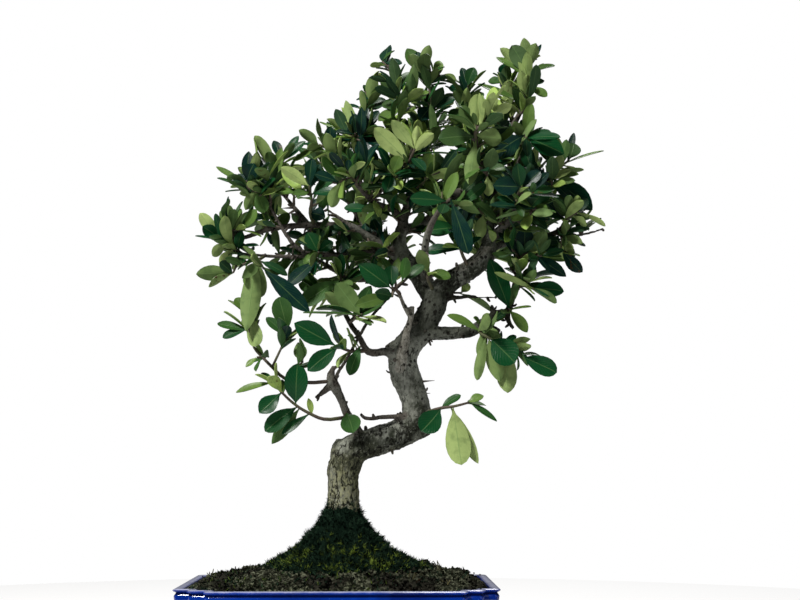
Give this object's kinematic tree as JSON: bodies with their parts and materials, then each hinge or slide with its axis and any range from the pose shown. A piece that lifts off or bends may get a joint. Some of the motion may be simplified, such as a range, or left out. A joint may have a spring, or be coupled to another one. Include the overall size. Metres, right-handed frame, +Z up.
{
  "type": "firethorn bonsai",
  "caption": "Informal upright firethorn bonsai with a crooked trunk and open leafy crown, on a mossy mound in a rectangular glazed pot with notched corners.",
  "frame": {"origin": "Under the middle of the pot, on the plane that the pot's feet stand on.", "axes": "+Z up, +X to the right of the front view, along the pot's long side, +Y away from the front view, so -Y is the front."},
  "size_m": [0.2999, 0.1771, 0.4607],
  "materials": {
    "glaze": "gloss",
    "soil": "matte",
    "moss": "matte",
    "bark": "matte",
    "leaf": "satin"
  },
  "bodies": {
    "root": {"pot": "glaze", "soil": "soil", "moss": "moss", "trunk": "bark", "spray_low_left": "leaf", "spray_long_left": "leaf", "spray_inner_left": "leaf", "spray_inner_left_top": "leaf", "spray_shoulder": "leaf", "spray_fork_tuft": "leaf", "spray_left_under": "leaf", "spray_left_under_back": "leaf", "spray_left_hanging": "leaf", "spray_left_edge": "leaf", "spray_left_low_inner": "leaf", "spray_left_mid": "leaf", "spray_left_mid_inner": "leaf", "spray_left_upper": "leaf", "spray_left_top": "leaf", "spray_left_inner": "leaf", "spray_left_peak": "leaf", "spray_left_crest": "leaf", "spray_small_light": "leaf", "spray_reddish": "leaf", "spray_centre_peak": "leaf", "spray_top_left": "leaf", "spray_top_side": "leaf", "spray_top_mid": "leaf", "spray_centre_right": "leaf", "spray_right_saddle": "leaf", "spray_right_peak": "leaf", "spray_right_peak_back": "leaf", "spray_right_shoulder": "leaf", "spray_right_edge": "leaf", "spray_right_tip": "leaf", "spray_right_front": "leaf", "spray_right_low": "leaf", "spray_right_mid": "leaf", "spray_right_low_pair": "leaf", "spray_right_node": "leaf", "spray_right_hanging": "leaf", "spray_elbow_right": "leaf", "spray_inner_front": "leaf", "spray_inner_olive": "leaf", "spray_inner_right": "leaf", "spray_centre_low": "leaf", "spray_front_right": "leaf", "spray_front_mid": "leaf", "spray_back_right": "leaf", "spray_back_mid": "leaf", "spray_back_left": "leaf", "spray_back_low_right": "leaf", "spray_back_low_left": "leaf", "spray_back_far_left": "leaf", "spray_back_centre": "leaf", "spray_back_inner_right": "leaf"}
  },
  "joints": []
}
